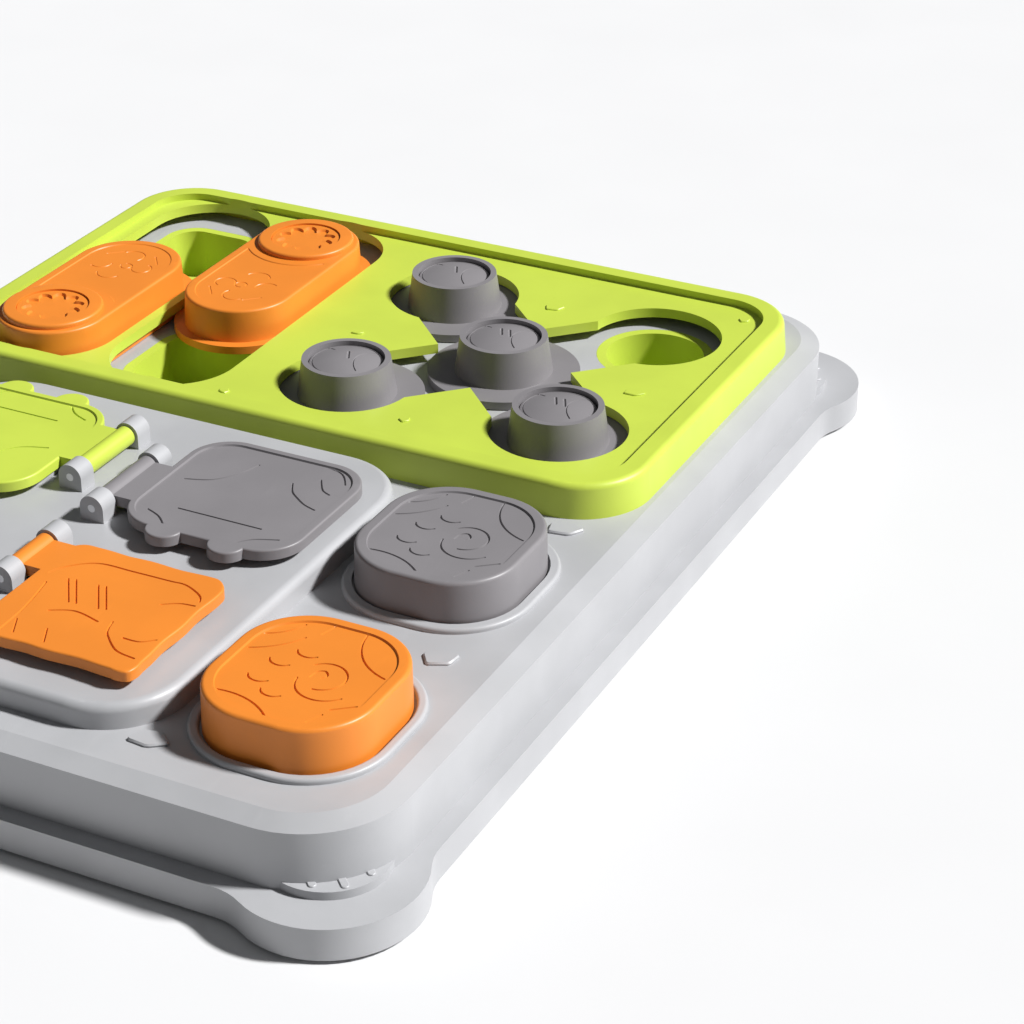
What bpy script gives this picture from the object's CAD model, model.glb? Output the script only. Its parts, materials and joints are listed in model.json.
"""Looks of the dog puzzle feeder board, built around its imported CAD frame.

Sizes are in millimetres in the classes and in metres in Blender.
X points to the right, Y to the back and Z up.
"""
from dataclasses import dataclass, field, replace
from enum import Enum
import json
import logging
import math
from typing import Iterable, Sequence

import bmesh
import bpy
from mathutils import Matrix, Vector
from mathutils.geometry import delaunay_2d_cdt
import numpy as np


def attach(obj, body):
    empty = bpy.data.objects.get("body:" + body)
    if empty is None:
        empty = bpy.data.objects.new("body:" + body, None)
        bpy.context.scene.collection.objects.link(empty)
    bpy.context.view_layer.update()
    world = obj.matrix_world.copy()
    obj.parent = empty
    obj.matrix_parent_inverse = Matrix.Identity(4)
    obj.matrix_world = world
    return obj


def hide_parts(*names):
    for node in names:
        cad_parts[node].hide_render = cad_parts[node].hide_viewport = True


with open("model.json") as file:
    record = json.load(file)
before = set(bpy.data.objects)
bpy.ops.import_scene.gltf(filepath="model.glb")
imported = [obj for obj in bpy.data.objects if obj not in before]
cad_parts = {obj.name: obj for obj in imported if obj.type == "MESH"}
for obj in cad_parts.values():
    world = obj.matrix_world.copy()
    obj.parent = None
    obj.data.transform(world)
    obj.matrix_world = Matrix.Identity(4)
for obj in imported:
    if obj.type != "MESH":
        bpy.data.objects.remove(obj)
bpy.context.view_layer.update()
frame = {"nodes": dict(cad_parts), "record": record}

LOG = logging.getLogger("treat_board")
MM = 0.001
Point = tuple[float, float]
Loop = list[Point]
Colour = tuple[float, float, float]

FAR = 1e9  # further than any distance on the board
TINY = 1e-9  # keeps a length that is divided by off zero
TINY_SQUARE = 1e-12  # the same for a squared length
BORDER_GAP = 0.2  # helper points keep this far off a face's border
LINK_REACH = 1.8  # helper points further apart than this aren't joined
GRID_BORDER_SHARE = 0.4  # share of a step that grid points keep off the border
GRID_ROW_SHARE = 0.3  # share of a step that they keep off the helper points
NO_GRID = 1e3  # a step that leaves no grid points
MERGE = 1e-5  # points of a fill closer than this are one
WELD = 1e-6  # metres, the same for the CAD mesh
PLANE_GAP = 1e-7  # metres, what lies this close to a cutting plane is on it
LEVEL_GAP = 2e-6  # metres, how far a flat face's corners may be off its height
UPWARD = 0.999  # a normal's Z from which a face looks up
HALF_TURN = 180.0


class Slot(Enum):
    """The record's material slots."""

    BASE = "base_grey"
    LIME = "lime"
    ORANGE = "orange"
    DARK = "dark_grey"
    STEEL = "steel"
    RUBBER = "rubber"


# ---- shader maths


class Wire:
    """A shader socket that takes part in Python arithmetic."""

    def __init__(self, desk: "MaterialDesk", socket: bpy.types.NodeSocket) -> None:
        """Keeps the socket and the desk that makes its nodes."""
        self.desk = desk
        self.socket = socket

    def _math(self, operation: str, first: object, second: object = None) -> "Wire":
        """Adds one Math node.

        Args:
            operation: Blender's name of the operation.
            first: A wire or a number.
            second: A wire, a number or nothing.

        Returns:
            The node's result.
        """
        values = {0: first} if second is None else {0: first, 1: second}
        node = self.desk.node("ShaderNodeMath", {"operation": operation}, values)
        return Wire(self.desk, node.outputs[0])

    def __add__(self, other: object) -> "Wire":
        """Sum."""
        return self._math("ADD", self, other)

    __radd__ = __add__

    def __sub__(self, other: object) -> "Wire":
        """Difference."""
        return self._math("SUBTRACT", self, other)

    def __rsub__(self, other: object) -> "Wire":
        """Reflected difference."""
        return self._math("SUBTRACT", other, self)

    def __mul__(self, other: object) -> "Wire":
        """Product."""
        return self._math("MULTIPLY", self, other)

    __rmul__ = __mul__

    def at_most(self, other: object) -> "Wire":
        """The smaller of the two."""
        return self._math("MINIMUM", self, other)

    def ramp(self, low: float, high: float) -> "Wire":
        """A clamped smooth step from 0 at low to 1 at high.

        Args:
            low: Where the step starts.
            high: Where it ends.

        Returns:
            The step's value.
        """
        settings = {"interpolation_type": "SMOOTHSTEP"}
        node = self.desk.node(
            "ShaderNodeMapRange", settings, {"Value": self, "From Min": low, "From Max": high}
        )
        return Wire(self.desk, node.outputs["Result"])


class MaterialDesk:
    """Makes one material's nodes."""

    def __init__(self, name: str) -> None:
        """Starts an empty material with its shader and output.

        Args:
            name: The material's name.
        """
        self.material = bpy.data.materials.new(name)
        self.material.use_nodes = True
        self.tree = self.material.node_tree
        self.tree.nodes.clear()
        self.shader = self.node("ShaderNodeBsdfPrincipled")
        output = self.node("ShaderNodeOutputMaterial")
        self.tree.links.new(self.shader.outputs[0], output.inputs["Surface"])

    def node(
        self, kind: str, settings: dict[str, object] | None = None,
        values: dict[object, object] | None = None,
    ) -> bpy.types.Node:
        """Makes a node of any type.

        Args:
            kind: Blender's node type.
            settings: The node's own properties, set first.
            values: Numbers, colours or wires for its input sockets.

        Returns:
            The new node.
        """
        made = self.tree.nodes.new(kind)
        for key, value in (settings or {}).items():
            setattr(made, key, value)
        for key, value in (values or {}).items():
            self.feed(made.inputs[key], value)
        return made

    def feed(self, socket: bpy.types.NodeSocket, value: object) -> None:
        """Links a wire to a socket, or sets its number or colour.

        Args:
            socket: The input socket.
            value: A wire, a number or a colour.
        """
        if isinstance(value, Wire):
            self.tree.links.new(value.socket, socket)
        else:
            socket.default_value = value

    def place(self, stretch: Sequence[float] = (1.0, 1.0, 1.0)) -> Wire:
        """The place on the piece in metres.

        Args:
            stretch: What each axis is multiplied by.

        Returns:
            The place as a vector.
        """
        here = Wire(self, self.node("ShaderNodeTexCoord").outputs["Object"])
        scaled = self.node(
            "ShaderNodeVectorMath", {"operation": "MULTIPLY"}, {0: here, 1: stretch}
        )
        return Wire(self, scaled.outputs[0])

    def noise(
        self, size_mm: float, detail: float = 2.0, stretch: Sequence[float] = (1.0, 1.0, 1.0),
        roughness: float = 0.5,
    ) -> Wire:
        """Noise from 0 to 1.

        Args:
            size_mm: Size of its patches in millimetres.
            detail: Octaves.
            stretch: Stretch along each axis.
            roughness: Strength of the finer octaves.

        Returns:
            The noise's value.
        """
        values = {
            "Vector": self.place(stretch), "Scale": 1.0 / (size_mm * MM),
            "Detail": detail, "Roughness": roughness,
        }
        made = self.node("ShaderNodeTexNoise", {}, values)
        return Wire(self, made.outputs["Fac"])

    def blend(self, factor: object, first: object, second: object) -> Wire:
        """Mixes two colours."""
        made = self.node("ShaderNodeMix", {"data_type": "RGBA"}, {0: factor, 6: first, 7: second})
        return Wire(self, made.outputs[2])

    def bump(self, height: Wire, depth_mm: float, below: Wire | None = None) -> Wire:
        """Turns a height from 0 to 1 into a normal.

        Args:
            height: The height.
            depth_mm: Its real depth in millimetres.
            below: Another normal that it lies on.

        Returns:
            The normal.
        """
        values = {"Height": height, "Distance": depth_mm * MM, "Strength": 1.0}
        if below is not None:
            values["Normal"] = below
        made = self.node("ShaderNodeBump", {}, values)
        return Wire(self, made.outputs[0])


def tint(colour: Colour, share: float) -> tuple[float, float, float, float]:
    """A colour made lighter or darker.

    Args:
        colour: Red, green and blue.
        share: What each is multiplied by.

    Returns:
        The new colour with alpha.
    """
    return tuple(min(1.0, c * share) for c in colour) + (1.0,)


@dataclass(frozen=True)
class Patches:
    """Noise patches of one size that two limits turn into a mask."""

    size_mm: float
    detail: float
    low: float
    high: float
    stretch: tuple[float, float, float] = (1.0, 1.0, 1.0)
    roughness: float = 0.5

    def mask(self, desk: MaterialDesk) -> Wire:
        """The patches as a mask from 0 to 1."""
        noise = desk.noise(self.size_mm, self.detail, self.stretch, self.roughness)
        return noise.ramp(self.low, self.high)


@dataclass(frozen=True)
class Finish:
    """A finish in one colour.

    A share says how strongly a layer shows, and a tint what it multiplies the colour by.
    """

    name: str
    colour: Colour

    def build(self) -> bpy.types.Material:
        """Makes the material.

        Returns:
            The material.
        """
        desk = MaterialDesk(self.name)
        for socket, value in self.layers(desk).items():
            desk.feed(desk.shader.inputs[socket], value)
        return desk.material

    def layers(self, desk: MaterialDesk) -> dict[str, object]:
        """What each socket of the shader gets. Every kind of finish has its own."""
        raise NotImplementedError


@dataclass(frozen=True)
class MouldedPlastic(Finish):
    """Matte moulded plastic with a spark-eroded grain, faint flow clouds and handling scuffs."""

    cloud_share: float = 0.05
    clouds: Patches = Patches(38.0, 3.0, 0.3, 0.7)
    specks: Patches = Patches(1.6, 2.0, 0.62, 0.8)
    speck_share: float = 0.25
    speck_tint: float = 0.9
    scuffs_along: Patches = Patches(9.0, 6.0, 0.60, 0.72, (1.0, 0.16, 1.0), 0.7)
    scuffs_across: Patches = Patches(7.0, 6.0, 0.62, 0.74, (0.2, 1.0, 1.0), 0.7)
    scuff_share: float = 0.10
    scuff_tint: float = 1.25
    scuff_rough: float = 0.06
    rough: float = 0.42
    rough_mm: float = 14.0
    rough_spread: float = 0.10
    grain_mm: float = 0.45
    grain_depth: float = 0.012
    flow_mm: float = 24.0
    flow_depth: float = 0.05
    specular: float = 0.45

    def layers(self, desk: MaterialDesk) -> dict[str, object]:
        """Makes the finish's layers.

        Args:
            desk: Where the nodes are made.

        Returns:
            What each socket of the shader gets.
        """
        darker = tint(self.colour, 1.0 - self.cloud_share)
        lighter = tint(self.colour, 1.0 + self.cloud_share)
        body = desk.blend(self.clouds.mask(desk), darker, lighter)
        specks = self.specks.mask(desk) * self.speck_share
        body = desk.blend(specks, body, tint(self.colour, self.speck_tint))
        scuffs = (self.scuffs_along.mask(desk) + self.scuffs_across.mask(desk)).at_most(1.0)
        body = desk.blend(scuffs * self.scuff_share, body, tint(self.colour, self.scuff_tint))
        spread = desk.noise(self.rough_mm, 3.0) * self.rough_spread
        rough = spread + (self.rough - self.rough_spread / 2) + scuffs * self.scuff_rough
        grain = desk.bump(desk.noise(self.grain_mm, 3.0), self.grain_depth)
        flow = desk.bump(desk.noise(self.flow_mm, 1.0), self.flow_depth, grain)
        return {"Base Color": body, "Roughness": rough, "Normal": flow,
                "Specular IOR Level": self.specular}


@dataclass(frozen=True)
class PlatedSteel(Finish):
    """Drawn steel wire and screws with a thin zinc coat."""

    cloud_mm: float = 5.0
    dark_tint: float = 0.85
    light_tint: float = 1.1
    streak_mm: float = 1.2
    streak_stretch: tuple[float, float, float] = (1.0, 0.05, 1.0)
    streak_depth: float = 0.01
    rough: float = 0.22
    rough_spread: float = 0.25

    def layers(self, desk: MaterialDesk) -> dict[str, object]:
        """Makes the finish's layers.

        Args:
            desk: Where the nodes are made.

        Returns:
            What each socket of the shader gets.
        """
        streaks = desk.noise(self.streak_mm, 4.0, self.streak_stretch)
        dark, light = tint(self.colour, self.dark_tint), tint(self.colour, self.light_tint)
        body = desk.blend(desk.noise(self.cloud_mm, 3.0), dark, light)
        return {"Base Color": body, "Roughness": streaks * self.rough_spread + self.rough,
                "Normal": desk.bump(streaks, self.streak_depth), "Metallic": 1.0}


@dataclass(frozen=True)
class SoftRubber(Finish):
    """Dull anti-slip rubber with dust in its pores."""

    pore_mm: float = 0.7
    pore_depth: float = 0.05
    dust: Patches = Patches(6.0, 4.0, 0.5, 0.8)
    dust_share: float = 0.3
    dust_tint: float = 2.2
    rough: float = 0.72
    rough_spread: float = 0.15

    def layers(self, desk: MaterialDesk) -> dict[str, object]:
        """Makes the finish's layers.

        Args:
            desk: Where the nodes are made.

        Returns:
            What each socket of the shader gets.
        """
        pores = desk.noise(self.pore_mm, 3.0)
        clean, dusty = tint(self.colour, 1.0), tint(self.colour, self.dust_tint)
        body = desk.blend(self.dust.mask(desk) * self.dust_share, clean, dusty)
        return {"Base Color": body, "Roughness": pores * self.rough_spread + self.rough,
                "Normal": desk.bump(pores, self.pore_depth)}


FINISHES = {
    Slot.BASE: MouldedPlastic("light_grey_abs", (0.410, 0.413, 0.426)),
    Slot.LIME: MouldedPlastic("lime_abs", (0.495, 0.605, 0.070), cloud_share=0.04),
    Slot.ORANGE: MouldedPlastic("orange_abs", (0.745, 0.226, 0.026), cloud_share=0.04),
    Slot.DARK: MouldedPlastic("dark_grey_abs", (0.215, 0.204, 0.213)),
    Slot.STEEL: PlatedSteel("zinc_steel", (0.62, 0.62, 0.63)),
    Slot.RUBBER: SoftRubber("foot_rubber", (0.035, 0.035, 0.036)),
}
MATERIALS = {slot: finish.build() for slot, finish in FINISHES.items()}


# ---- plane curves


def rounded(width: float, depth: float, corner: float, x: float = 0.0, y: float = 0.0,
            per_corner: int = 14) -> Loop:
    """A rectangle with round corners as a closed loop.

    Args:
        width: Along X.
        depth: Along Y.
        corner: Corner radius.
        x: Centre.
        y: Centre.
        per_corner: Steps in each corner.

    Returns:
        The loop, anticlockwise.
    """
    points = []
    half_x, half_y = width / 2 - corner, depth / 2 - corner
    for turn, (sx, sy) in enumerate(((1, 1), (-1, 1), (-1, -1), (1, -1))):
        for step in range(per_corner + 1):
            angle = (turn + step / per_corner) * math.pi / 2
            points.append((x + sx * half_x + corner * math.cos(angle),
                           y + sy * half_y + corner * math.sin(angle)))
    return points


def arc(x: float, y: float, radius: float, start: float, end: float, steps: int = 18) -> Loop:
    """An open arc. The angles are in degrees, anticlockwise from +X."""
    angles = [math.radians(start + (end - start) * i / steps) for i in range(steps + 1)]
    return [(x + radius * math.cos(a), y + radius * math.sin(a)) for a in angles]


def disc(x: float, y: float, radius: float, steps: int) -> Loop:
    """A circle as a closed loop, anticlockwise."""
    return [(x + px, y + py) for px, py in arc(0, 0, radius, 0, 360, steps)[:-1]]


def line(x0: float, y0: float, x1: float, y1: float, steps: int = 6) -> Loop:
    """A straight stroke."""
    return [(x0 + (x1 - x0) * i / steps, y0 + (y1 - y0) * i / steps) for i in range(steps + 1)]


def through(*points: Point, steps: int = 8) -> Loop:
    """A smooth open curve through points.

    Args:
        points: Where the curve passes.
        steps: Steps between two of them.

    Returns:
        The curve's points.
    """
    path = [points[0], *points, points[-1]]
    curve = []
    for a, b, c, d in zip(path, path[1:], path[2:], path[3:]):
        for i in range(steps):
            t = i / steps
            curve.append(tuple(
                0.5 * (2 * q + (r - p) * t + (2 * p - 5 * q + 4 * r - s) * t * t
                       + (3 * q - p - 3 * r + s) * t ** 3)
                for p, q, r, s in zip(a, b, c, d)
            ))
    return [*curve, points[-1]]


def even(path: Loop, spacing: float, closed: bool) -> np.ndarray:
    """Points at even spacing along a path.

    Args:
        path: The path's points.
        spacing: The spacing in millimetres.
        closed: Whether the path's end joins its start.

    Returns:
        The points.
    """
    line_points = np.array([*path, path[0]] if closed else path)
    lengths = np.concatenate([[0.0], np.cumsum(np.hypot(*np.diff(line_points, axis=0).T))])
    count = max(2, int(math.ceil(lengths[-1] / spacing)) + 1)
    marks = np.linspace(0.0, lengths[-1], count)
    points = np.stack([np.interp(marks, lengths, line_points[:, axis]) for axis in (0, 1)], 1)
    return points[:-1] if closed else points


def side_rows(path: np.ndarray, offsets: Sequence[float], closed: bool) -> list[np.ndarray]:
    """Rows of points beside a path.

    Args:
        path: Evenly spaced points.
        offsets: How far to the left each row lies.
        closed: Whether the path's end joins its start.

    Returns:
        The rows.
    """
    if closed:
        ahead = np.roll(path, -1, axis=0) - np.roll(path, 1, axis=0)
    else:
        ahead = np.gradient(path, axis=0)
    ahead = ahead / np.maximum(np.hypot(*ahead.T), TINY)[:, None]
    side = np.stack([-ahead[:, 1], ahead[:, 0]], 1)
    return [path + side * offset for offset in offsets]


def around(path: np.ndarray, reach: float, cap_steps: int = 5) -> np.ndarray:
    """A closed outline round an open path, with its first point again at its end.

    Args:
        path: Evenly spaced points.
        reach: How far the outline lies from the path.
        cap_steps: Steps in each round end.

    Returns:
        The outline's points.
    """
    left, right = side_rows(path, (reach, -reach), False)
    caps = []
    for tip, toward in ((path[-1], path[-1] - path[-2]), (path[0], path[0] - path[1])):
        middle = math.atan2(toward[1], toward[0])
        turns = [middle - math.pi * (i / cap_steps - 0.5) for i in range(1, cap_steps)]
        caps.append(np.array([tip + reach * np.array([math.cos(t), math.sin(t)]) for t in turns]))
    return np.concatenate([left, caps[0], right[::-1], caps[1], left[:1]])


def opposite(points: Loop) -> Loop:
    """Points turned about the origin by a half turn."""
    return [(-x, -y) for x, y in points]


def distance(points: np.ndarray, path: np.ndarray, closed: bool) -> np.ndarray:
    """The distance from each point to a path.

    Args:
        points: N by 2.
        path: M by 2.
        closed: Whether the path's end joins its start.

    Returns:
        N distances.
    """
    starts = path if closed else path[:-1]
    ends = np.roll(path, -1, axis=0) if closed else path[1:]
    best = np.full(len(points), FAR)
    for a, b in zip(starts, ends):
        along = b - a
        size = float(along @ along) or TINY_SQUARE
        share = np.clip(((points - a) @ along) / size, 0.0, 1.0)
        best = np.minimum(best, np.hypot(*(points - a - share[:, None] * along).T))
    return best


def inside(points: np.ndarray, loop: np.ndarray) -> np.ndarray:
    """Whether each point lies inside a closed loop, by counting crossings.

    Args:
        points: N by 2.
        loop: M by 2.

    Returns:
        N answers.
    """
    x, y = points[:, 0], points[:, 1]
    result = np.zeros(len(points), bool)
    for a, b in zip(loop, np.roll(loop, -1, axis=0)):
        if a[1] == b[1]:
            continue
        crosses = (a[1] > y) != (b[1] > y)
        result ^= crosses & (x < (b[0] - a[0]) * (y - a[1]) / (b[1] - a[1]) + a[0])
    return result


def within(points: np.ndarray, border: list[np.ndarray]) -> np.ndarray:
    """Whether each point lies inside an outer loop and outside its holes.

    Args:
        points: N by 2.
        border: The outer loop and any holes.

    Returns:
        N answers.
    """
    held = np.zeros(len(points), bool)
    for loop in border:
        held ^= inside(points, loop)
    return held


# ---- carved faces


@dataclass
class Stroke:
    """A groove cut into a face."""

    path: Loop
    width: float = 0.8
    depth: float = 0.6
    floor_share: float = 0.5
    spacing: float = 0.9

    def height(self, points: np.ndarray) -> np.ndarray:
        """The groove's part in the face's height.

        Args:
            points: N by 2.

        Returns:
            N heights, 0 off the groove and below 0 in it.
        """
        reach = distance(points, np.array(self.path), False)
        share = (1 - reach / (self.width / 2)) / (1 - self.floor_share)
        return -self.depth * np.clip(share, 0.0, 1.0)

    def rows(self) -> list[np.ndarray]:
        """The outlines of the groove's mouth and of its floor."""
        path = even(self.path, self.spacing, False)
        return [around(path, self.width / 2 * share) for share in (1.0, self.floor_share)]


@dataclass
class Panel:
    """A flat area inside a loop that lies lower than the face."""

    loop: Loop
    depth: float = 0.7
    slope: float = 0.35
    spacing: float = 1.4
    margin: float = 0.4

    def depth_inside(self, points: np.ndarray) -> np.ndarray:
        """How far inside the edge each point lies.

        Args:
            points: N by 2.

        Returns:
            N distances, below 0 outside the panel.
        """
        path = np.array(self.loop)
        reach = distance(points, path, True)
        return np.where(inside(points, path), reach, -reach)

    def height(self, points: np.ndarray) -> np.ndarray:
        """The panel's part in the face's height.

        Args:
            points: N by 2.

        Returns:
            N heights, 0 outside the panel and below 0 in it.
        """
        return -self.depth * np.clip(0.5 + self.depth_inside(points) / self.slope, 0.0, 1.0)

    def rows(self) -> list[np.ndarray]:
        """Follows the sloping edge.

        Returns:
            A closed row of points at the edge's top and one at its foot.
        """
        path = even(self.loop, self.spacing, True)
        rows = side_rows(path, [share * self.slope for share in (-0.5, 0.5)], True)
        return [np.concatenate([row, row[:1]]) for row in rows]

    def inner(self, points: np.ndarray) -> np.ndarray:
        """Where the panel may be cut into.

        Args:
            points: N by 2.

        Returns:
            1 for a point two margins or more inside the edge, 0 within one margin and outside.
        """
        return np.clip(self.depth_inside(points) / self.margin - 1.0, 0.0, 1.0)


@dataclass
class Carving:
    """The strokes and panels of one face, about its own centre, and a dome if it has one."""

    strokes: list[Stroke] = field(default_factory=list)
    panels: list[Panel] = field(default_factory=list)
    dome: float = 0.0
    dome_reach: float = 1.0

    def height(self, points: np.ndarray) -> np.ndarray:
        """The face's height in millimetres.

        Args:
            points: N by 2.

        Returns:
            N heights above the face as it was.
        """
        total = np.zeros(len(points))
        for part in self.panels:
            total += part.height(points)
        cut = np.zeros(len(points))
        for part in self.strokes:
            groove = part.height(points)
            cut = np.where(np.abs(groove) > np.abs(cut), groove, cut)
        if self.panels:
            cut *= np.max([part.inner(points) for part in self.panels], axis=0)
        spread = np.clip(np.hypot(*points.T) / self.dome_reach, 0.0, 1.0)
        return total + cut + self.dome * (1 - spread ** 2)

    def rows(self) -> Iterable[np.ndarray]:
        """All the rows of helper points."""
        for part in [*self.strokes, *self.panels]:
            yield from part.rows()

    def half_turned(self) -> "Carving":
        """Turns the carving by a half turn about its centre.

        Returns:
            A turned copy.
        """
        strokes = [replace(part, path=opposite(part.path)) for part in self.strokes]
        panels = [replace(part, loop=opposite(part.loop)) for part in self.panels]
        return replace(self, strokes=strokes, panels=panels)


def triangulate(loops: list[Loop], carving: Carving, step: float) -> tuple[np.ndarray, list, list]:
    """Fills loops with triangles that are fine enough for a carving.

    Args:
        loops: The outer loop and any holes.
        carving: What is cut into the face.
        step: Spacing of the plain grid.

    Returns:
        The points, the triangles, and the number among the points of each point of the loops.
    """
    border = [np.array(loop) for loop in loops]
    ring = np.concatenate(border)
    edges, first = [], 0
    for loop in border:
        count = len(loop)
        edges += [(first + i, first + (i + 1) % count) for i in range(count)]
        first += count

    def clear(points: np.ndarray, gap: float) -> np.ndarray:
        """Picks the points that lie inside the face and off its border.

        Args:
            points: N by 2.
            gap: How far off the border they lie at least.

        Returns:
            The points that are left.
        """
        near = np.full(len(points), FAR)
        for loop in border:
            near = np.minimum(near, distance(points, loop, True))
        return points[within(points, border) & (near > gap)]

    low, high = ring.min(0), ring.max(0)
    grid = np.stack(np.meshgrid(np.arange(low[0] + step / 2, high[0], step),
                                np.arange(low[1] + step / 2, high[1], step)), -1).reshape(-1, 2)
    extra, links = np.zeros((0, 2)), []
    for row in carving.rows():
        kept = clear(row, BORDER_GAP)
        first_kept = len(ring) + len(extra)
        gaps = np.hypot(*np.diff(kept, axis=0).T) if len(kept) > 1 else np.zeros(0)
        joined = [i for i, gap in enumerate(gaps, start=first_kept) if gap < LINK_REACH]
        links += [(i, i + 1) for i in joined]
        extra = np.concatenate([extra, kept])
    grid = clear(grid, step * GRID_BORDER_SHARE)
    if len(extra):
        gap = step * GRID_ROW_SHARE
        grid = grid[[i for i, p in enumerate(grid) if np.min(np.hypot(*(extra - p).T)) > gap]]
    points = np.concatenate([ring, extra, grid])
    result = delaunay_2d_cdt([Vector(p) for p in points], edges + links, [], 0, MERGE)
    places = np.array([tuple(v) for v in result[0]])
    order = {}
    for number, sources in enumerate(result[3]):
        for source in sources:
            if source < len(ring):
                order[source] = number
    corners = [list(face) for face in result[2] if len(face) == 3]
    middles = np.array([places[c].mean(0) for c in corners])
    faces = [c for c, good in zip(corners, within(middles, border)) if good]
    return places, faces, [order[i] for i in range(len(ring))]


def make_mesh(name: str, work: bmesh.types.BMesh, slot: Slot, sharp_degrees: float = 32.0
              ) -> bpy.types.Mesh:
    """Turns the work into a smooth mesh with sharp edges and its finish.

    Args:
        name: The mesh's name.
        work: The work, which is freed.
        slot: Its material slot.
        sharp_degrees: From which angle an edge stays sharp.

    Returns:
        The mesh.
    """
    bmesh.ops.recalc_face_normals(work, faces=work.faces)
    for face in work.faces:
        face.smooth = True
    for edge in work.edges:
        edge.smooth = edge.calc_face_angle(0.0) < math.radians(sharp_degrees)
    mesh = bpy.data.meshes.new(name)
    work.to_mesh(mesh)
    work.free()
    mesh.materials.append(MATERIALS[slot])
    return mesh


def place_object(name: str, data: bpy.types.ID) -> bpy.types.Object:
    """Makes an object and puts it into the scene.

    Args:
        name: Its name.
        data: A mesh, a lamp or a camera.

    Returns:
        The object.
    """
    made = bpy.data.objects.new(name, data)
    bpy.context.scene.collection.objects.link(made)
    return made


def add_piece(name: str, mesh: bpy.types.Mesh, body: str, slot: Slot,
              replaced: Sequence[str] = ()) -> bpy.types.Object:
    """Puts a mesh into the scene as a piece that rides on a body.

    Args:
        name: The piece's name.
        mesh: Its mesh in the board's frame.
        body: The CAD body it rides on.
        slot: Its material slot.
        replaced: CAD nodes that it stands for.

    Returns:
        The piece.
    """
    piece = place_object(name, mesh)
    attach(piece, body)
    if replaced:
        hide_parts(*replaced)
    LOG.info("%s: %d faces on %s", name, len(mesh.polygons), body)
    return piece


def face_loops(mesh: bmesh.types.BMesh, level: float) -> tuple[list, list[list]]:
    """Finds the upward flat faces at one height.

    Args:
        mesh: The piece's mesh.
        level: The height in metres.

    Returns:
        The faces, and their border loops as lists of vertices.
    """
    flat = [
        face for face in mesh.faces
        if face.normal.z > UPWARD and all(abs(v.co.z - level) < LEVEL_GAP for v in face.verts)
    ]
    chosen = set(flat)
    after = {}
    for face in flat:
        for corner in face.loops:
            if any(other not in chosen for other in corner.edge.link_faces):
                after[corner.vert] = corner.link_loop_next.vert
    loops = []
    while after:
        start = next(iter(after))
        loop = [start]
        follower = after.pop(start)
        while follower is not start:
            loop.append(follower)
            follower = after.pop(follower)
        loops.append(loop)
    return flat, loops


def slice_up(work: bmesh.types.BMesh, spacing: float) -> None:
    """Cuts all faces along planes, so that long straight edges can bend.

    Args:
        work: The mesh.
        spacing: The planes' spacing in millimetres.
    """
    for axis in (0, 1):
        places = [v.co[axis] for v in work.verts]
        low, high = min(places), max(places)
        count = int((high - low) / (spacing * MM))
        for number in range(1, count + 1):
            point, normal = Vector((0, 0, 0)), Vector((0, 0, 0))
            point[axis] = low + (high - low) * number / (count + 1)
            normal[axis] = 1.0
            geometry = [*work.verts, *work.edges, *work.faces]
            bmesh.ops.bisect_plane(
                work, geom=geometry, dist=PLANE_GAP, plane_co=point, plane_no=normal
            )


def carve_node(node: str, slot: Slot, body: str, cuts: list[tuple[float, Carving, Point]],
               step: float = 2.2, slices: float = 0.0) -> bpy.types.Object:
    """Copies a CAD node and gives flat faces on its top a carved surface.

    Args:
        node: The CAD node.
        slot: Its material slot.
        body: The body it rides on.
        cuts: For each height in millimetres its carving and the carving's centre.
        step: Spacing of the plain grid.
        slices: Spacing of the cuts that let long edges bend, or 0 for none.

    Returns:
        The piece that stands for the node.
    """
    work = bmesh.new()
    work.from_mesh(frame["nodes"][node].data)
    bmesh.ops.remove_doubles(work, verts=work.verts, dist=WELD)
    if slices:
        slice_up(work, slices)
    for level, carving, (x, y) in cuts:
        flat, loops = face_loops(work, level * MM)
        if not loops:
            raise ValueError(f"{node} has no flat top at {level} mm")
        centre = np.array([x, y])
        flat_loops = [[(v.co.x / MM - x, v.co.y / MM - y) for v in loop] for loop in loops]
        border = [v for loop in loops for v in loop]
        places, faces, order = triangulate(flat_loops, carving, step)
        bmesh.ops.delete(work, geom=flat, context="FACES_ONLY")
        heights = carving.height(places)
        known = {number: vert for number, vert in zip(order, border)}
        used = sorted({n for face in faces for n in face})
        for number in used:
            if number not in known:
                px, py = places[number] + centre
                pz = level + heights[number]
                known[number] = work.verts.new((px * MM, py * MM, pz * MM))
        for face in faces:
            try:
                work.faces.new([known[n] for n in face])
            except ValueError:
                LOG.debug("%s: a face is there already", node)
    loose = [e for e in work.edges if not e.link_faces]
    bmesh.ops.delete(work, geom=loose, context="EDGES")
    lone = [v for v in work.verts if not v.link_faces]
    bmesh.ops.delete(work, geom=lone, context="VERTS")
    mesh = make_mesh(f"{node}_carved", work, slot)
    return add_piece(f"{node}_carved", mesh, body, slot, [node])


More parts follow.
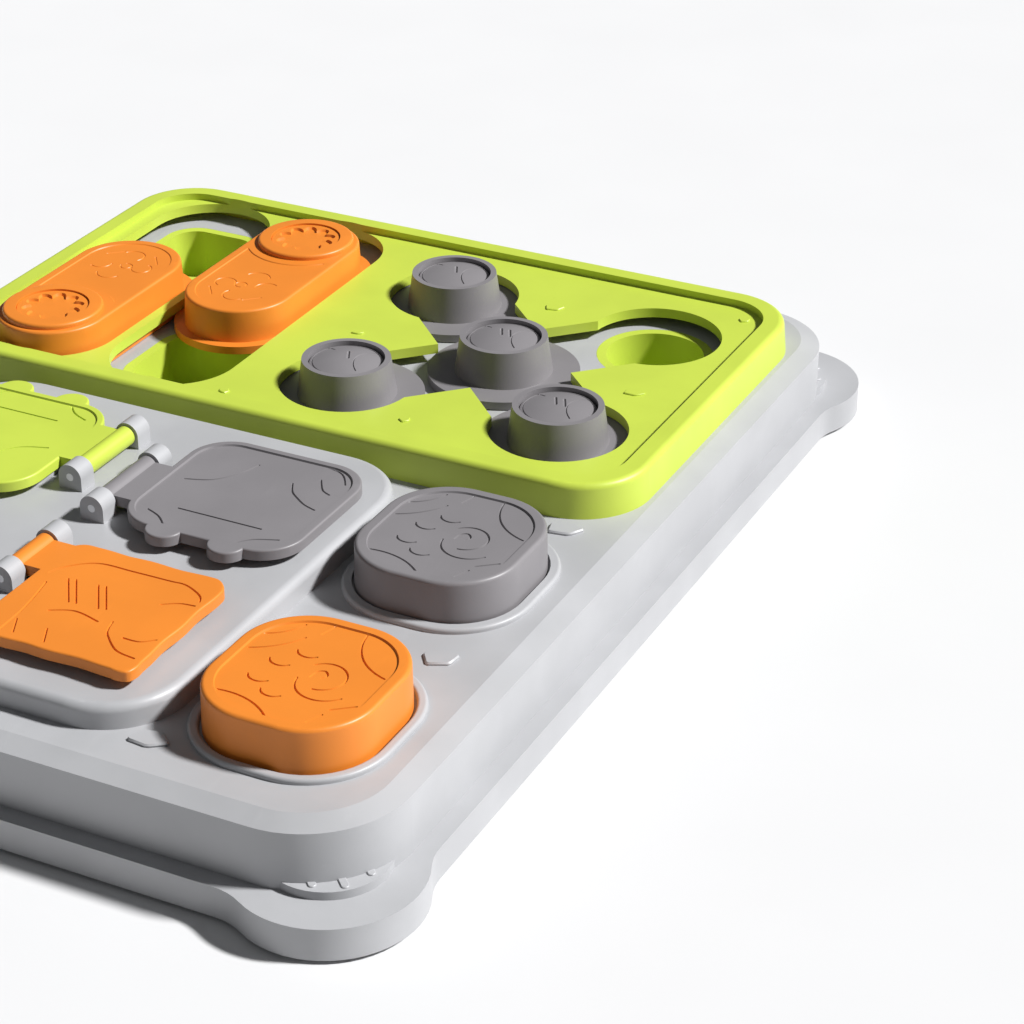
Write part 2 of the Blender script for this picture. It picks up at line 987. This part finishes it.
def slab(name: str, loop: Loop, bottom: float, top: float, slot: Slot, body: str,
         carving: Carving, bevel: float, step: float,
         replaced: Sequence[str] = ()) -> bpy.types.Object:
    """A closed piece with straight walls, a small bevel and a carved top.

    Args:
        name: The piece's name.
        loop: Its outline, anticlockwise, in the board's frame.
        bottom: Height of its underside.
        top: Height of its top's edge.
        slot: Its material slot.
        body: The body it rides on.
        carving: What is cut into the top, about the outline's middle.
        bevel: Width of the sloping top edge.
        step: Spacing of the plain grid.
        replaced: CAD nodes that it stands for.

    Returns:
        The piece.
    """
    outline = np.array(loop)
    centre = (outline.min(0) + outline.max(0)) / 2
    rim = side_rows(outline, [bevel], True)[0]
    places, faces, order = triangulate([(rim - centre).tolist()], carving, step)
    heights = carving.height(places) + top
    rim_numbers = set(order)
    work = bmesh.new()
    verts = {}
    for number in sorted({n for face in faces for n in face}):
        x, y = places[number] + centre
        z = top if number in rim_numbers and not carving.dome else heights[number]
        verts[number] = work.verts.new((x * MM, y * MM, z * MM))
    for face in faces:
        work.faces.new([verts[n] for n in face])
    rows = [[verts[number] for number in order]]
    for height in (top - bevel, bottom):
        rows.append([work.verts.new((x * MM, y * MM, height * MM)) for x, y in outline])
    for upper, lower in zip(rows, rows[1:]):
        for i in range(len(outline)):
            after = (i + 1) % len(outline)
            work.faces.new([upper[i], lower[i], lower[after], upper[after]])
    _, under_faces, under_order = triangulate([outline.tolist()], Carving(), NO_GRID)
    low = dict(zip(under_order, rows[-1]))
    for face in under_faces:
        work.faces.new([low[n] for n in reversed(face)])
    return add_piece(name, make_mesh(name, work, slot), body, slot, replaced)


# ---- the board's pieces


@dataclass
class LiftBlock:
    """A lift-off block with a sunk panel, long arcs, small arcs and a hook."""

    name: str
    slot: Slot
    x: float
    y: float
    width: float = 60.0
    depth: float = 65.5
    corner: float = 24.0
    top: float = 53.5
    panel_inset: float = 4.6

    def carving(self) -> Carving:
        """The cuts in the block's top.

        Returns:
            The carving about the block's centre.
        """
        width, depth = self.width - 2 * self.panel_inset, self.depth - 2 * self.panel_inset
        paths = [
            arc(-16.0, -45.0, 24.3, 103, 38), arc(-31.0, 30.0, 17.3, 294, 342),
            arc(-36.0, 30.0, 28.2, 295, 334), line(-5.1, 28.4, -7.0, 21.8),
            arc(30.0, 30.0, 23.7, 184, 255), arc(6.0, -0.2, 7.7, 140, -88, 30),
            arc(9.0, -3.0, 10.2, 186, 325, 24),
            through((2.3, -2.0), (2.9, 1.6), (5.2, 2.9), (7.0, 0.8), (5.9, -1.2)),
            line(17.2, -15.9, 23.8, -10.6), line(14.1, -24.8, 16.5, -19.2),
        ]
        paths += [arc(x, y, 4.8, 205, 318, 12) for x, y in
                  ((-5.0, 12.2), (-10.6, 4.2), (-12.0, -6.8), (-4.0, -12.6))]
        loop = rounded(width, depth, self.corner - self.panel_inset)
        return Carving([Stroke(path) for path in paths], [Panel(loop)])

    def build(self) -> None:
        """Makes the carved block."""
        cuts = [(self.top, self.carving(), (self.x, self.y))]
        carve_node(f"lift_block_{self.name}", self.slot, f"block_{self.name}", cuts)


@dataclass
class FlipLid:
    """A flip-up lid, scalloped with a sunk panel, or plain with wavy edges.

    side is 1 for a lid whose hinge is at its left and -1 for one whose hinge is at its right.
    The wave starts at stiff_share of the half width on the hinge's side of the middle, and what
    lies beyond edge_share of it moves with the edge.
    """

    name: str
    slot: Slot
    x: float
    y: float
    side: int
    scalloped: bool
    top: float = 52.5
    half: float = 31.5
    swell: float = 0.3
    point: float = 2.0
    stiff_share: float = 0.55
    fade_share: float = 0.3
    edge_share: float = 0.75
    edge_fade: float = 0.2
    side_wave: float = 3.3
    end_wave: float = 3.6
    slices: float = 2.5

    def carving(self) -> Carving:
        """The cuts in the lid's top, for a lid whose hinge is at its left.

        Returns:
            The carving about the lid's centre.
        """
        if self.scalloped:
            paths = [
                line(-16.4, -18.4, 17.4, -18.5),
                through((18.1, 21.7), (22.3, 15.5), (26.2, 13.3)),
                through((10.3, 15.0), (13.3, 9.8), (17.5, 6.2), (22.0, 3.2), (27.0, 1.4)),
                through((-25.5, -23.5), (-18.6, -26.8), (-11.9, -34.0)),
                through((-26.0, 1.0), (-16.6, 4.9), (-10.5, 13.0), (-7.4, 21.7)),
                through((13.9, -31.4), (18.6, -26.0), (26.7, -22.4)),
                through((-8.0, 31.0), (10.1, 31.0), (21.8, 29.4), (27.6, 22.3)),
            ]
            panels = [Panel(rounded(63.0, 62.0, 13.0, -0.4, 0.0))]
        else:
            paths = [
                through((-27.2, 9.7), (-23.5, 16.1), (-15.4, 21.9), (-2.1, 22.4), (12.0, 22.6),
                        (18.4, 22.7), (25.8, 19.1), (28.4, 15.4)),
                line(-19.0, 8.9, -10.3, -3.7), line(-16.2, 9.4, -7.6, -3.3),
                line(-7.6, 9.7, 0.8, -2.9), line(-4.8, 10.1, 3.4, -2.2),
                line(-19.3, -20.0, -15.6, -27.4), line(-6.9, -20.8, -3.2, -28.1),
                through((17.7, 8.4), (22.8, 11.6), (28.6, 12.5)),
                through((9.7, -7.8), (10.8, -12.0), (12.9, -15.5), (20.4, -22.0), (28.3, -23.6)),
                through((18.1, -14.7), (24.2, -14.4), (29.0, -11.0)),
                through((-20.6, -27.7), (-21.0, -16.2), (-22.4, -6.0), (-24.4, 3.8)),
                through((-13.2, -11.0), (-5.0, -7.6), (5.2, -9.8)),
            ]
            panels = []
        return Carving([Stroke(path) for path in paths], panels)

    def build(self) -> None:
        """Makes the carved lid. A left lid is a half turn of the right one."""
        carving = self.carving() if self.side > 0 else self.carving().half_turned()
        cuts = [(self.top, carving, (self.x, self.y))]
        piece = carve_node(f"lid_{self.name}", self.slot, f"lid_{self.name}", cuts,
                           slices=0.0 if self.scalloped else self.slices)
        if not self.scalloped:
            self.wave(piece)

    def edge_part(self, place: float) -> float:
        """How far a place from the middle moves with the edge, from 0 to 1."""
        return min(max((place / self.half - self.edge_share) / self.edge_fade, 0.0), 1.0)

    def wave(self, piece: bpy.types.Object) -> None:
        """Gives a plain lid its wavy edges and its pointed front corner.

        Args:
            piece: The carved lid.
        """
        for vert in piece.data.vertices:
            u = (vert.co.x / MM - self.x) * self.side
            v = (vert.co.y / MM - self.y) * self.side
            if u < -self.half * self.stiff_share:
                continue
            near_side = self.edge_part(u)
            near_end = self.edge_part(abs(v))
            fade = min((u / self.half + self.stiff_share) / self.fade_share, 1.0)
            corner = near_side * near_end * self.point if v < 0 else 0.0
            side_swell = self.swell * (math.cos(v / self.side_wave) - 1.0)
            end_swell = self.swell * (math.cos(u / self.end_wave) - 1.0)
            push_u = near_side * side_swell + corner
            push_v = near_end * fade * end_swell + corner
            vert.co.x += self.side * push_u * MM
            vert.co.y += self.side * math.copysign(push_v, push_v * v) * MM
        piece.data.update()


@dataclass
class KnobCap:
    """The domed disc in a knob, with a ring, two arcs and dashes."""

    name: str
    x: float
    y: float
    dashes: int
    radius: float = 14.5
    seat: float = 54.0
    edge: float = 55.2
    dome: float = 2.3
    ring_inset: float = 1.3
    dash_spacing: float = 3.6
    bevel: float = 0.35
    grid: float = 1.4

    def carving(self) -> Carving:
        """The dome and the cuts in it.

        Returns:
            The carving about the cap's centre.
        """
        strokes = [Stroke(arc(0, 0, self.radius - self.ring_inset, 0, 352, 70), 0.5, 0.3)]
        for number in range(self.dashes):
            shift = self.dash_spacing * (number - (self.dashes - 1) / 2)
            strokes.append(Stroke(line(shift - 1.4, 4.4, shift + 1.2, -0.8), 1.3, 0.6))
        strokes.append(Stroke(arc(15.0, 2.0, 11.5, 122, 232), 0.6, 0.4))
        strokes.append(Stroke(arc(-15.0, -4.0, 11.5, 300, 52), 0.6, 0.4))
        return Carving(strokes, [], self.dome, self.radius)

    def build(self) -> None:
        """Makes the cap."""
        slab(f"knob_cap_{self.name}_domed", disc(self.x, self.y, self.radius, 96), self.seat,
             self.edge, Slot.DARK, f"knob_{self.name}", self.carving(), self.bevel, self.grid,
             [f"knob_cap_{self.name}"])


@dataclass
class Slider:
    """An orange slider with a sunk panel, small curls and a dial with a star-shaped hollow.

    dial_end is 1 for a slider whose dial is at its back and -1 for one with it at its front.
    """

    name: str
    x: float
    y: float
    dial_end: int
    length: float = 99.0
    width: float = 46.6
    top: float = 56.0
    dial_inset: float = 23.0
    dish_radius: float = 14.5
    dish_floor: float = 56.2
    dial_top: float = 58.2
    lobes: int = 10
    lobe_low: float = 8.6
    lobe_rise: float = 3.7
    panel_inset: float = 5.0
    dial_clear: float = 24.5
    panel_depth: float = 0.35
    curl_width: float = 0.8
    curl_depth: float = 0.22
    lobe_steps: int = 16
    lobe_power: float = 0.9
    star_depth: float = 1.05
    star_slope: float = 0.5
    rosette_gap: float = 0.02
    rosette_sink: float = 0.1
    rosette_drop: float = 0.7
    bevel: float = 0.3
    grid: float = 1.6

    def carving(self) -> Carving:
        """The sunk panel and the small curls, for a slider whose dial is at its back.

        Returns:
            The carving about the slider's centre.
        """
        far = self.width / 2 - self.length / 2
        dial_y = self.length / 2 - self.dial_inset
        half = self.width / 2 - self.panel_inset
        side = math.degrees(math.acos(half / self.dial_clear))
        loop = arc(0, far, half, HALF_TURN, 2 * HALF_TURN, 30)
        loop += arc(0, dial_y, self.dial_clear, -side, side - HALF_TURN, 24)
        curls = [
            arc(-9.0, far + 3.0, 4.2, 10, 250), arc(1.0, far - 6.0, 5.0, 150, 330),
            arc(9.0, far + 5.0, 4.6, 190, 60), arc(0.5, far + 12.0, 5.2, 20, 160),
            arc(-2.0, far + 3.5, 2.4, 0, 290), line(6.5, far - 9.0, 12.0, far - 4.0),
            line(-12.5, far - 3.5, -8.0, far - 9.5),
        ]
        strokes = [Stroke(path, self.curl_width, self.curl_depth) for path in curls]
        return Carving(strokes, [Panel(loop, self.panel_depth)])

    def rosette(self) -> Carving:
        """The star-shaped hollow in the dial.

        Returns:
            The carving about the dial's centre.
        """
        steps = self.lobes * self.lobe_steps
        loop = []
        for step in range(steps):
            angle = 2 * math.pi * step / steps
            lobe = abs(math.cos(self.lobes * angle / 2)) ** self.lobe_power
            radius = self.lobe_low + self.lobe_rise * lobe
            loop.append((radius * math.cos(angle), radius * math.sin(angle)))
        return Carving([], [Panel(loop, self.star_depth, self.star_slope)])

    def build(self) -> None:
        """Makes the carved slider and the rosette in its dial."""
        carving = self.carving() if self.dial_end > 0 else self.carving().half_turned()
        body = f"slider_{self.name}"
        carve_node(body, Slot.ORANGE, body, [(self.top, carving, (self.x, self.y))])
        dial_y = self.y + self.dial_end * (self.length / 2 - self.dial_inset)
        loop = disc(self.x, dial_y, self.dish_radius - self.rosette_gap, 120)
        slab(f"{body}_rosette", loop, self.dish_floor - self.rosette_sink,
             self.dial_top - self.rosette_drop, Slot.ORANGE, body, self.rosette(),
             self.bevel, self.grid)


@dataclass
class RaisedMark:
    """A small raised mark on the base or the tray."""

    name: str
    loop: Loop
    x: float
    y: float
    foot: float
    slot: Slot
    rise: float = 1.1
    sink: float = 0.3
    bevel_share: float = 0.45
    grid: float = 3.0

    def build(self) -> None:
        """Makes the mark, sunk a little into what carries it."""
        loop = [(self.x + px, self.y + py) for px, py in self.loop]
        slab(self.name, loop, self.foot - self.sink, self.foot + self.rise, self.slot, "board",
             Carving(), self.rise * self.bevel_share, self.grid)


@dataclass(frozen=True)
class Pebble:
    """An uneven pebble's outline with cut corners."""

    size: float
    turn: float
    corners: int = 5
    uneven: float = 0.16
    uneven_step: float = 2.3
    squash: float = 0.78
    stops: tuple[float, float, float] = (0.12, 0.5, 0.88)

    def loop(self) -> Loop:
        """The outline.

        Returns:
            The loop about the pebble's centre, anticlockwise.
        """
        points = []
        for corner in range(self.corners):
            angle = math.radians(self.turn + 360 * corner / self.corners)
            reach = self.size * (1.0 + self.uneven * math.sin(self.uneven_step * corner + 1.0))
            points.append((reach * math.cos(angle), reach * self.squash * math.sin(angle)))
        loop = []
        for number, (x, y) in enumerate(points):
            nx, ny = points[(number + 1) % self.corners]
            loop += [(x + (nx - x) * stop, y + (ny - y) * stop) for stop in self.stops]
        return loop


@dataclass
class BaseMarks:
    """The raised marks on the base and on the tray, and the claw dashes on the corner steps.

    A spot is a place and a turn in degrees, and a tray spot also has its mark's size. A claw is
    an angle on the corner's step in degrees and its distance from the corner's centre.
    """

    base_top: float = 36.5
    base_size: float = 6.8
    base_spots: Sequence[tuple[float, float, float]] = (
        (133.8, -4.4, 20), (134.3, -100.9, 40), (75.4, -183.7, 0), (-60.0, -197.0, 15),
    )
    tray_plate: float = 47.0
    tray_rise: float = 0.6
    tray_spots: Sequence[tuple[float, float, float, float]] = (
        (58.9, 143.4, 30, 4.2), (119.8, 87.0, 10, 4.2), (52.1, 27.7, 60, 2.6),
        (-21.0, 18.4, 80, 2.6), (-1.0, 87.0, 15, 2.6), (132.7, 166.4, 45, 2.6),
    )
    step_top: float = 16.0
    claw_x: float = 140.5
    claw_y: float = 186.0
    claw_length: float = 7.0
    claw_width: float = 2.6
    claw_corner: float = 1.2
    claw_rise: float = 0.5
    claw_places: Sequence[tuple[float, float]] = ((8, 15.5), (45, 16.0), (82, 15.5))

    def build(self) -> None:
        """Makes every mark."""
        for number, (x, y, turn) in enumerate(self.base_spots, start=1):
            loop = Pebble(self.base_size, turn).loop()
            RaisedMark(f"base_mark_{number}", loop, x, y, self.base_top, Slot.BASE).build()
        for number, (x, y, turn, size) in enumerate(self.tray_spots, start=1):
            loop = Pebble(size, turn).loop()
            RaisedMark(f"tray_mark_{number}", loop, x, y, self.tray_plate, Slot.LIME,
                       self.tray_rise).build()
        for sx in (-1, 1):
            for sy in (-1, 1):
                self.claws(sx, sy)

    def claws(self, sx: int, sy: int) -> None:
        """Makes the three dashes on one corner's step.

        Args:
            sx: -1 at the left, 1 at the right.
            sy: -1 at the front, 1 at the back.
        """
        name = f"{'front' if sy < 0 else 'back'}_{'left' if sx < 0 else 'right'}"
        spin = math.atan2(sy, sx)
        ahead, aside = math.cos(spin), math.sin(spin)
        dash = rounded(self.claw_length, self.claw_width, self.claw_corner, per_corner=5)
        loop = [(px * ahead - py * aside, px * aside + py * ahead) for px, py in dash]
        for number, (degrees, reach) in enumerate(self.claw_places, start=1):
            place = math.radians(degrees)
            angle = math.atan2(sy * math.sin(place), sx * math.cos(place))
            x = self.claw_x * sx + reach * math.cos(angle)
            y = self.claw_y * sy + reach * math.sin(angle)
            RaisedMark(f"claw_dash_{name}_{number}", loop, x, y, self.step_top, Slot.BASE,
                       self.claw_rise).build()


@dataclass
class Studio:
    """The pale floor, the soft lights and the camera."""

    camera_at: tuple[float, float, float] = (494.3, -775.8, 513.5)
    azimuth: float = 26.3
    elevation: float = 28.9
    roll: float = 0.1
    lens: float = 96.5
    sensor: float = 36.0
    near: float = 0.01
    far: float = 20.0
    aim: tuple[float, float, float] = (0.05, 0.0, 0.03)
    key_at: tuple[float, float, float] = (1.60, 0.62, 1.63)
    key_strength: float = 5.7
    key_angle: float = 0.11
    fill_at: tuple[float, float, float] = (-0.9, -1.5, 1.3)
    fill_power: float = 1.2
    fill_side: float = 1.6
    sky: tuple[float, float, float, float] = (0.93, 0.96, 1.0, 1.0)
    sky_strength: float = 0.11
    floor_dark: tuple[float, float, float, float] = (0.68, 0.68, 0.685, 1)
    floor_light: tuple[float, float, float, float] = (0.71, 0.71, 0.715, 1)
    floor_patch: float = 80.0
    floor_rough: float = 0.9
    floor_half: float = 6.0
    floor_squares: int = 24

    def camera(self) -> None:
        """Makes the camera at the photo's place."""
        data = bpy.data.cameras.new("camera")
        data.lens, data.sensor_width = self.lens, self.sensor
        data.clip_start, data.clip_end = self.near, self.far
        camera = place_object("camera", data)
        a, e, r = (math.radians(v) for v in (self.azimuth, self.elevation, self.roll))
        back = Vector((math.sin(a) * math.cos(e), -math.cos(a) * math.cos(e), math.sin(e)))
        right = Vector((math.cos(a), math.sin(a), 0.0))
        up = back.cross(right)
        camera.rotation_mode = "QUATERNION"
        camera.location = Vector(self.camera_at) * MM
        across = right * math.cos(r) + up * math.sin(r)
        upward = up * math.cos(r) - right * math.sin(r)
        camera.rotation_quaternion = Matrix((across, upward, back)).transposed().to_quaternion()
        bpy.context.scene.camera = camera

    def floor(self) -> None:
        """Makes the pale flat floor."""
        work = bmesh.new()
        count = self.floor_squares
        bmesh.ops.create_grid(work, x_segments=count, y_segments=count, size=self.floor_half)
        mesh = bpy.data.meshes.new("studio_floor")
        work.to_mesh(mesh)
        work.free()
        desk = MaterialDesk("pale_paper")
        paper = desk.blend(desk.noise(self.floor_patch), self.floor_dark, self.floor_light)
        desk.feed(desk.shader.inputs["Base Color"], paper)
        desk.feed(desk.shader.inputs["Roughness"], self.floor_rough)
        mesh.materials.append(desk.material)
        floor = place_object("studio_floor", mesh)

    def light(self, kind: str, name: str, place: Sequence[float], power: float,
              size: float) -> None:
        """Makes one soft light that points at the board.

        Args:
            kind: AREA or SUN.
            name: Its name.
            place: Where it hangs, in metres.
            power: Its power in watts, or a sun's strength.
            size: The side of its square in metres, or a sun's angle.
        """
        data = bpy.data.lights.new(name, kind)
        data.energy = power
        if kind == "SUN":
            data.angle = size
        else:
            data.size = size
        lamp = place_object(name, data)
        lamp.location = Vector(place)
        lamp.rotation_mode = "QUATERNION"
        lamp.rotation_quaternion = (Vector(self.aim) - Vector(place)).to_track_quat("-Z", "Y")

    def build(self) -> None:
        """Sets up floor, lights, sky and camera."""
        self.floor()
        self.light("SUN", "key", self.key_at, self.key_strength, self.key_angle)
        self.light("AREA", "fill", self.fill_at, self.fill_power, self.fill_side)
        world = bpy.data.worlds.new("studio_air")
        world.use_nodes = True
        air = world.node_tree.nodes["Background"]
        air.inputs["Color"].default_value = self.sky
        air.inputs["Strength"].default_value = self.sky_strength
        bpy.context.scene.world = world
        bpy.context.scene.view_settings.view_transform = "Standard"
        self.camera()


class PlainPieces:
    """The CAD nodes. Those that no carved piece stands for show as they are."""

    def build(self) -> None:
        """Gives every node its finish and reports it."""
        slots = {s["node"]: s["material_slot"] for s in frame["record"]["subparts"]}
        for name, node in frame["nodes"].items():
            node.data.materials.clear()
            node.data.materials.append(MATERIALS[Slot(slots[name])])
            LOG.info("%s: %s", name, slots[name])


@dataclass
class KnobCaps:
    """The caps of the four knobs, which stand in the pockets of the tray's X."""

    middle_x: float = 61.7
    middle_y: float = 92.0
    pitch: float = 45.0

    def build(self) -> None:
        """Makes every cap."""
        for name, sx, sy, dashes in (("back_left", -1, 1, 1), ("front_left", -1, -1, 1),
                                     ("middle", 0, 0, 2), ("front_right", 1, -1, 2)):
            x, y = self.middle_x + self.pitch * sx, self.middle_y + self.pitch * sy
            KnobCap(name, x, y, dashes).build()


def main() -> None:
    """Builds every piece in order."""
    logging.basicConfig(level=logging.INFO, format="%(name)s: %(message)s")
    PlainPieces().build()
    LiftBlock("front", Slot.ORANGE, 113.0, -149.5).build()
    LiftBlock("back", Slot.DARK, 113.0, -51.2).build()
    FlipLid("back_right", Slot.DARK, 34.5, -57.0, 1, True).build()
    FlipLid("front_right", Slot.ORANGE, 31.5, -143.0, 1, False).build()
    FlipLid("back_left", Slot.LIME, -74.5, -57.0, -1, True).build()
    FlipLid("front_left", Slot.DARK, -71.5, -143.0, -1, False).build()
    KnobCaps().build()
    Slider("left", -110.5, 62.0, -1).build()
    Slider("right", -54.5, 112.5, 1).build()
    BaseMarks().build()
    Studio().build()


if __name__ == "__main__":
    main()
